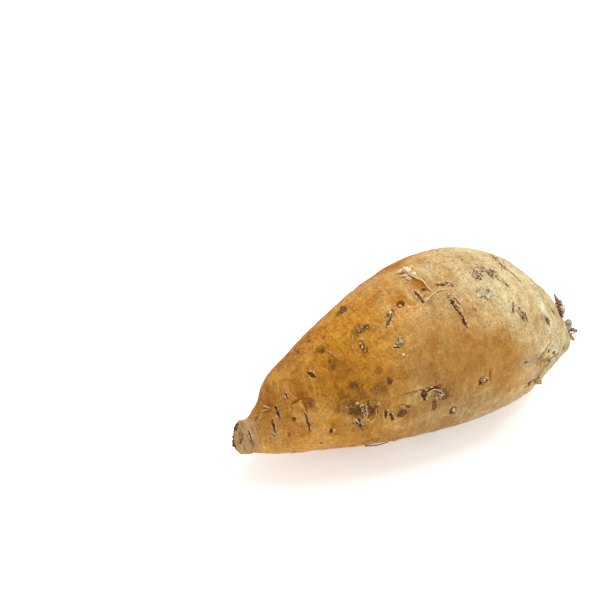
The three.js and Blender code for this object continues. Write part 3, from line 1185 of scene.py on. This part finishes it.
class Wiring:
    """Adds nodes to a material or a node group, with values and links given by socket name."""

    def __init__(self, tree):
        self.tree = tree

    def node(self, kind, settings=None, **sockets):
        """A new node. The name b_c stands for the socket 'B C', and a value that is a socket is linked."""
        made = self.tree.nodes.new(kind)
        for name, value in (settings or {}).items():
            setattr(made, name, value)
        for name, value in sockets.items():
            self.feed(made.inputs[name.replace("_", " ").title()], value)
        return made

    def feed(self, socket, value):
        """Links a socket to another, or sets its value."""
        if isinstance(value, bpy.types.NodeSocket):
            self.tree.links.new(value, socket)
        else:
            socket.default_value = value

    def group(self, tree, **sockets):
        """One of the shared effects."""
        return self.node("ShaderNodeGroup", {"node_tree": tree}, **sockets).outputs[0]

    def mask(self, name):
        """One of the numbers kept on the mesh."""
        return self.node("ShaderNodeAttribute", {"attribute_name": name}).outputs["Fac"]

    def rise(self, value, low, high, to_low=0.0, to_high=1.0):
        """A smooth step from to_low to to_high as value goes from low to high."""
        made = self.node(
            "ShaderNodeMapRange",
            {"interpolation_type": "SMOOTHSTEP"},
            value=value,
            from_min=low,
            from_max=high,
            to_min=to_low,
            to_max=to_high,
        )
        return made.outputs["Result"]

    def math(self, operation, first, second=0.0):
        """A sum, product or the like of two values."""
        made = self.node("ShaderNodeMath", {"operation": operation})
        self.feed(made.inputs[0], first)
        self.feed(made.inputs[1], second)
        return made.outputs[0]

    def blend(self, share, first, second, kind="MIX"):
        """first where share is 0 and second where it is 1."""
        made = self.node("ShaderNodeMix", {"data_type": "RGBA", "blend_type": kind})
        for socket, value in zip((made.inputs[0], made.inputs[6], made.inputs[7]), (share, first, second)):
            self.feed(socket, value)
        return made.outputs[2]

    def shade(self, share, base, factor):
        """base, multiplied by a factor of red, green and blue where share is 1."""
        return self.blend(share, base, opaque(factor), "MULTIPLY")

    def bump(self, height, distance, strength):
        """A normal pushed by height."""
        return self.node("ShaderNodeBump", strength=strength, distance=distance, height=height).outputs[0]


def opaque(rgb):
    """A colour with full alpha."""
    return (*rgb, 1.0)


WHITE = opaque((1.0, 1.0, 1.0))


def new_effect(name, inputs, output):
    """An empty node group with float or vector inputs and one float output."""
    tree = bpy.data.node_groups.new(name, "ShaderNodeTree")
    for label, default in inputs.items():
        kind = "NodeSocketVector" if isinstance(default, tuple) else "NodeSocketFloat"
        tree.interface.new_socket(label, in_out="INPUT", socket_type=kind).default_value = default
    tree.interface.new_socket(output, in_out="OUTPUT", socket_type="NodeSocketFloat")
    wiring = Wiring(tree)
    given = wiring.node("NodeGroupInput").outputs
    result = wiring.node("NodeGroupOutput").inputs[output]
    return tree, wiring, given, result


def grain_effect():
    """Noise from 0 to 1 in lumps of a given size in metres, squeezed by Stretch."""
    inputs = {"Size": 0.002, "Detail": 3.0, "Roughness": 0.6, "Stretch": (1.0, 1.0, 1.0)}
    tree, w, given, result = new_effect("grain", inputs, "Value")
    place = w.node("ShaderNodeTexCoord").outputs["Object"]
    stretched = w.node("ShaderNodeVectorMath", {"operation": "MULTIPLY"})
    w.feed(stretched.inputs[0], place)
    w.feed(stretched.inputs[1], given["Stretch"])
    made = w.node(
        "ShaderNodeTexNoise",
        vector=stretched.outputs[0],
        scale=w.math("DIVIDE", 1.0, given["Size"]),
        detail=given["Detail"],
        roughness=given["Roughness"],
    )
    w.feed(result, made.outputs["Fac"])
    return tree


def crumble_effect(grain):
    """Makes the edge of a soft mask ragged. Ragged says by how much, Size at what scale."""
    inputs = {"Mask": 0.0, "Size": 0.0009, "Ragged": 0.8, "Edge": 0.5, "Softness": 0.2}
    tree, w, given, result = new_effect("crumble", inputs, "Mask")
    speck = w.math("SUBTRACT", w.group(grain, size=given["Size"]), 0.5)
    pushed = w.math("ADD", given["Mask"], w.math("MULTIPLY", speck, given["Ragged"]))
    low = w.math("SUBTRACT", given["Edge"], given["Softness"])
    high = w.math("ADD", given["Edge"], given["Softness"])
    there = w.rise(given["Mask"], 0.02, 0.12)
    w.feed(result, w.math("MULTIPLY", w.rise(pushed, low, high), there))
    return tree


def new_material(name):
    """An empty material with its wiring and its main shader."""
    material = bpy.data.materials.new(name)
    material.use_nodes = True
    material.node_tree.nodes.clear()
    wiring = Wiring(material.node_tree)
    shader = wiring.node("ShaderNodeBsdfPrincipled")
    wiring.node("ShaderNodeOutputMaterial", surface=shader.outputs["BSDF"])
    return material, wiring, shader


class SkinColour:
    """Lays the skin's colours over each other, from the broad zones to the marks."""

    def __init__(self, wiring, settings, grain, crumble):
        self.w = wiring
        self.settings = settings
        self.crumble = crumble
        self.noises = {name: wiring.group(grain, **look) for name, look in SKIN_NOISES.items()}
        self.base = opaque(settings.honey)

    def part(self, name, low, high, within=1.0):
        """Where one of the noises rises from low to high, kept within a mask."""
        return self.w.math("MULTIPLY", self.w.rise(self.noises[name], low, high), within)

    def ragged(self, name, **edge):
        """One of the skin's masks with a ragged edge."""
        return self.w.group(self.crumble, mask=self.w.mask(name), **edge)

    def two_tone(self, share, first, second):
        """A colour that changes from first to second with share."""
        return self.w.blend(share, opaque(first), opaque(second))

    def cover(self, share, paint):
        """Lays a colour over the rest where share is 1."""
        self.base = self.w.blend(share, self.base, paint)

    def shade(self, share, tint):
        """Multiplies the colour so far by a tint where share is 1."""
        self.base = self.w.shade(share, self.base, TINTS[tint])

    def zones(self):
        """The colour zones with faint grey patches and painted shade, broad clouds, and dry bloom and
        painted light over them.
        """
        for zone in ("khaki", "gold", "neck", "straw", "tan", "amber"):
            self.cover(self.w.mask(zone), opaque(getattr(self.settings, zone)))
        # Faint grey patches, and painted shade on the crown's upper right.
        patchy = self.w.rise(self.noises["mottle"], 0.40, 0.60, 0.25, 0.9)
        self.cover(self.w.math("MULTIPLY", self.w.mask("grey_and_shade"), patchy), opaque(self.settings.grey_and_shade))
        self.shade(self.part("cloud", 0.48, 0.66), "dark cloud")
        self.shade(self.part("cloud", 0.48, 0.34), "light cloud")
        # Dry pale bloom, and painted light on the crown's right side.
        self.shade(self.w.mask("bloom_and_light"), "bloom_and_light")

    def soil(self):
        """Soil rubbed into the skin, with dark clods and pale grains. Gives back where it lies."""
        soil = self.ragged("soil", size=0.0028, ragged=2.0, edge=0.75, softness=0.55)
        self.shade(soil, "soil")
        self.shade(self.part("chunk", 0.50, 0.62, within=soil), "soil clods")
        self.shade(self.part("fine", 0.54, 0.66, within=soil), "soil grains")
        return soil

    def mottle(self):
        """Mottling, streaks and specks, strongest on the gold and calmest on the tan."""
        blotchy = self.w.rise(self.w.mask("gold"), 0.0, 1.0, 0.35, 0.9)
        lively = self.w.rise(self.w.mask("tan"), 0.0, 1.0, 1.0, 0.55)
        crisp = self.w.math("MULTIPLY", lively, self.w.rise(self.w.mask("straw"), 0.0, 1.0, 0.9, 1.1))
        for name, low, high, busy, tint in (
            ("mottle", 0.50, 0.62, blotchy, "dark mottle"),
            ("mottle", 0.50, 0.36, 1.0, "light mottle"),
            ("streak", 0.52, 0.68, lively, "light streak"),
            ("streak", 0.48, 0.32, lively, "dark streak"),
            ("speckle", 0.53, 0.66, crisp, "dark speckle"),
            ("speckle", 0.47, 0.34, lively, "light speckle"),
        ):
            self.shade(self.part(name, low, high, within=busy), tint)

    def cap_and_creases(self):
        """The weathered cap with its rings, and the painted highlights on the ridges and painted shade in
        the furrows of the creases.
        """
        self.cover(self.ragged("ash", size=0.002, softness=0.4), opaque(self.settings.ash))
        # Painted highlight on the crease ridges and painted shade in their furrows.
        self.shade(self.w.mask("pale"), "ridge")
        self.shade(self.w.mask("furrow"), "furrow")
        self.shade(self.part("ring", 0.51, 0.58, within=self.w.mask("ash")), "cap ring")

    def marks(self, cork):
        """The other kinds of mark, the darkest last."""
        skin = self.settings
        stain = self.w.shade(1.0, self.base, TINTS["stain"])
        crust = self.w.shade(1.0, self.base, TINTS["crust"])
        # Darker gaps between the crust's chips: partly dark cork, partly painted shade.
        crust = self.w.shade(self.part("chunk", 0.60, 0.46), crust, TINTS["crust gap"])
        plate = self.two_tone(self.part("chunk", 0.42, 0.60), skin.plate, skin.dry_plate)
        scab = self.two_tone(self.part("fine", 0.46, 0.62), skin.scab, skin.dry_scab)
        crumbly = self.part("fine", 0.44, 0.58)
        lip = self.two_tone(crumbly, skin.lip, cork)
        # The darkest layer: the dark insides of the marks, and painted shade in their hollows.
        hole = self.two_tone(crumbly, skin.hole, skin.crumbs)
        for name, edge, ragged, softness, paint in (
            ("stain", 0.50, 1.8, 0.35, stain),
            ("grey", 0.50, 1.4, 0.20, plate),
            ("crust", 0.55, 3.0, 0.20, crust),
            ("cork", 0.38, 1.4, 0.20, lip),
            ("wound", 0.50, 1.2, 0.20, scab),
            ("dark", 0.50, 1.2, 0.25, hole),
        ):
            self.cover(self.ragged(name, edge=edge, ragged=ragged, softness=softness), paint)


def skin_material(settings, dry, grain, crumble):
    """Dry root skin: soft colour zones under mottling and streaks, then the marks."""
    material, w, shader = new_material("root_skin")
    colours = SkinColour(w, settings, grain, crumble)
    colours.zones()
    soil = colours.soil()
    colours.mottle()
    colours.cap_and_creases()
    colours.marks(dry.cork)
    noises = colours.noises
    w.feed(shader.inputs["Base Color"], colours.base)
    w.feed(shader.inputs["Roughness"], w.rise(noises["mottle"], 0.3, 0.7, 0.58, 0.75))
    folds = w.math("MULTIPLY", noises["streak"], w.rise(w.mask("fold"), 0.0, 1.0, 0.8, 2.6))
    crumbs = w.math("MULTIPLY", noises["speckle"], w.rise(soil, 0.0, 1.0, 0.5, 1.5))
    w.feed(shader.inputs["Normal"], w.bump(w.math("ADD", crumbs, folds), 0.0011, 0.7))
    shader.inputs["Specular IOR Level"].default_value = 0.1
    return material


def cork_material(dry, grain, crumble):
    """Dried cork and rootlets, from cream to brown by each bit's tone."""
    material, w, shader = new_material("dry_cork")
    fine = w.group(grain, size=0.0007, detail=4.0)
    patch = w.group(grain, size=0.0025)
    tone = w.math("ADD", w.mask("tone"), w.rise(patch, 0.3, 0.7, -0.25, 0.25))
    base = w.blend(w.rise(tone, 0.0, 1.0), opaque(dry.cork), opaque(dry.bark))
    base = w.blend(w.group(crumble, mask=fine, edge=0.70, size=0.0004), base, opaque(dry.speck))
    w.feed(shader.inputs["Base Color"], base)
    w.feed(shader.inputs["Roughness"], w.rise(fine, 0.3, 0.7, 0.6, 0.85))
    w.feed(shader.inputs["Normal"], w.bump(fine, 0.0003, 0.5))
    shader.inputs["Specular IOR Level"].default_value = 0.25
    return material


def stem_material(dry, grain, crumble):
    """Broken stem: from dark rot by grey, golden and reddish to pale cork as the tone goes up."""
    material, w, shader = new_material("broken_stem")
    fibre = w.group(grain, size=0.0012, detail=4.0, stretch=(0.4, 1.6, 1.6))
    fine = w.group(grain, size=0.0006, detail=3.0)
    tone = w.math("ADD", w.mask("tone"), w.rise(fibre, 0.3, 0.7, -0.2, 0.2))
    base = w.blend(w.rise(tone, 0.18, 0.5), opaque(dry.stem), opaque(dry.rind))
    base = w.blend(w.rise(tone, 0.55, 0.85), base, opaque(dry.shoot))
    base = w.blend(w.rise(tone, 1.1, 1.4), base, opaque(dry.cork))
    base = w.blend(w.rise(fibre, 0.55, 0.67), base, opaque(dry.bark))
    base = w.blend(w.rise(tone, -0.1, -0.5), base, opaque(dry.rot))
    base = w.blend(w.group(crumble, mask=fine, edge=0.68, size=0.0005), base, opaque(dry.cork))
    w.feed(shader.inputs["Base Color"], base)
    w.feed(shader.inputs["Roughness"], w.rise(fine, 0.3, 0.7, 0.55, 0.8))
    w.feed(shader.inputs["Normal"], w.bump(fibre, 0.0006, 0.7))
    shader.inputs["Specular IOR Level"].default_value = 0.25
    return material


def floor_material(settings, grain):
    """White paper that glows a little."""
    material, w, shader = new_material("floor_paper")
    tone = w.rise(w.group(grain, size=0.4), 0.3, 0.7)
    paper = w.blend(tone, opaque(settings.dull_paper), opaque(settings.paper))
    w.feed(shader.inputs["Base Color"], paper)
    shader.inputs["Roughness"].default_value = 0.9
    shader.inputs["Specular IOR Level"].default_value = 0.0
    shader.inputs["Emission Color"].default_value = WHITE
    shader.inputs["Emission Strength"].default_value = settings.glow
    return material


def shared_effect(name, make, *needs):
    """One of the shared node groups, made the first time that it is asked for."""
    return bpy.data.node_groups.get(name) or make(*needs)


def effects():
    """The grain and crumble node groups."""
    grain = shared_effect("grain", grain_effect)
    return grain, shared_effect("crumble", crumble_effect, grain)


# ---------------------------------------------------------------- operators


def add_piece(name, mesh, material):
    """Puts a finished mesh in the scene, riding on the root."""
    piece = bpy.data.objects.new(name, mesh)
    bpy.context.collection.objects.link(piece)
    mesh.materials.clear()
    mesh.materials.append(material)
    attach(piece, "root")
    return piece


def finished_chart():
    """A chart that lands on the finished skin."""
    if "skin" not in bpy.data.objects:
        raise RuntimeError("make the skin first")
    mesh = bpy.data.objects["skin"].data
    return Chart(read_points(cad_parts[CAD_NODE].data), surface_tree(mesh))


class SWEETPOTATO_OT_skin(bpy.types.Operator):
    """Build the root's skin with its scars, pits and crusts"""

    bl_idname = "sweetpotato.skin"
    bl_label = "Skin"

    def execute(self, context):
        scene = context.scene
        mesh = make_skin(scene.sweetpotato_skin, all_marks())
        material = skin_material(scene.sweetpotato_skin, scene.sweetpotato_dry, *effects())
        skin = add_piece("skin", mesh, material)
        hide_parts(CAD_NODE)
        return {"FINISHED"}


class SWEETPOTATO_OT_flakes(bpy.types.Operator):
    """Scatter cork flakes over the crusts and the lips of the scars"""

    bl_idname = "sweetpotato.flakes"
    bl_label = "Cork flakes"

    def execute(self, context):
        dry = context.scene.sweetpotato_dry
        mesh = make_flakes(finished_chart(), all_marks(), dry.flakes)
        add_piece("cork_flakes", mesh, cork_material(dry, *effects()))
        return {"FINISHED"}


class SWEETPOTATO_OT_rootlets(bpy.types.Operator):
    """Lay the dried rootlets and lumps on the skin"""

    bl_idname = "sweetpotato.rootlets"
    bl_label = "Rootlets"

    def execute(self, context):
        dry = context.scene.sweetpotato_dry
        add_piece("rootlets", make_rootlets(finished_chart()), cork_material(dry, *effects()))
        return {"FINISHED"}


class SWEETPOTATO_OT_stems(bpy.types.Operator):
    """Build the broken stem ends and shoots"""

    bl_idname = "sweetpotato.stems"
    bl_label = "Stem ends"

    def execute(self, context):
        material = stem_material(context.scene.sweetpotato_dry, *effects())
        add_piece("stem_ends", make_stems(), material)
        return {"FINISHED"}


class SWEETPOTATO_OT_stage(bpy.types.Operator):
    """Set up the floor, lights and camera"""

    bl_idname = "sweetpotato.stage"
    bl_label = "Stage"

    def execute(self, context):
        settings = context.scene.sweetpotato_stage
        add_floor(settings)
        add_lights(settings)
        add_camera(settings)
        context.scene.view_settings.view_transform = "Standard"
        return {"FINISHED"}


def add_floor(settings):
    """A wide pale floor that the root rests on."""
    work = bmesh.new()
    bmesh.ops.create_grid(work, x_segments=4, y_segments=4, size=settings.floor)
    mesh = bpy.data.meshes.new("floor")
    work.to_mesh(mesh)
    work.free()
    grain, _ = effects()
    mesh.materials.append(floor_material(settings, grain))
    floor = bpy.data.objects.new("floor", mesh)
    bpy.context.collection.objects.link(floor)


def add_lights(settings):
    """A bright even surround and one large soft light above the root's crown."""
    world = bpy.data.worlds.new("surround")
    world.use_nodes = True
    background = world.node_tree.nodes["Background"]
    background.inputs["Color"].default_value = WHITE
    background.inputs["Strength"].default_value = settings.surround
    bpy.context.scene.world = world
    light = bpy.data.lights.new("key", "AREA")
    light.shape = "DISK"
    light.size = settings.key_size
    light.energy = settings.key
    key = bpy.data.objects.new("key", light)
    bpy.context.collection.objects.link(key)
    key.location = settings.key_place
    away = key.location - Vector(settings.key_target)
    key.rotation_euler = away.to_track_quat("Z", "Y").to_euler()


def add_camera(settings):
    """The camera, moved sideways so that the root's middle lands off the picture's centre."""
    turn, rise = settings.azimuth, settings.elevation
    right = Vector((math.cos(turn), math.sin(turn), 0))
    back = Vector((math.sin(turn) * math.cos(rise), -math.cos(turn) * math.cos(rise), math.sin(rise)))
    up = back.cross(right)
    data = bpy.data.cameras.new("camera")
    data.lens = settings.lens
    data.sensor_width = settings.sensor
    picture = data.sensor_width / data.lens * settings.distance
    middle = Vector(settings.middle)
    target = middle - right * settings.middle_right * picture + up * settings.middle_down * picture
    camera = bpy.data.objects.new("camera", data)
    bpy.context.collection.objects.link(camera)
    axes = Matrix((right, up, back)).transposed().to_4x4()
    camera.matrix_world = Matrix.Translation(target + back * settings.distance) @ axes
    bpy.context.scene.camera = camera


class SWEETPOTATO_PT_parts(bpy.types.Panel):
    """Lists the pieces of the sweet potato"""

    bl_label = "Sweet Potato"
    bl_idname = "SWEETPOTATO_PT_parts"
    bl_space_type = "VIEW_3D"
    bl_region_type = "UI"
    bl_category = "Sweet Potato"

    def draw(self, context):
        for operator in OPERATORS:
            self.layout.operator(operator.bl_idname)


OPERATORS = (
    SWEETPOTATO_OT_skin,
    SWEETPOTATO_OT_flakes,
    SWEETPOTATO_OT_rootlets,
    SWEETPOTATO_OT_stems,
    SWEETPOTATO_OT_stage,
)
SETTINGS = {
    "sweetpotato_skin": SkinSettings,
    "sweetpotato_dry": DryRootSettings,
    "sweetpotato_stage": StageSettings,
}


def register():
    """Adds the settings, operators and panel to Blender."""
    for name, group in SETTINGS.items():
        bpy.utils.register_class(group)
        setattr(bpy.types.Scene, name, PointerProperty(type=group))
    for entry in (*OPERATORS, SWEETPOTATO_PT_parts):
        bpy.utils.register_class(entry)


def unregister():
    """Takes them out again."""
    for entry in reversed((*OPERATORS, SWEETPOTATO_PT_parts)):
        bpy.utils.unregister_class(entry)
    for name, group in SETTINGS.items():
        delattr(bpy.types.Scene, name)
        bpy.utils.unregister_class(group)


def main():
    """Builds every piece in order."""
    register()
    bpy.ops.sweetpotato.skin()
    bpy.ops.sweetpotato.flakes()
    bpy.ops.sweetpotato.rootlets()
    bpy.ops.sweetpotato.stems()
    bpy.ops.sweetpotato.stage()


if __name__ == "__main__":
    main()
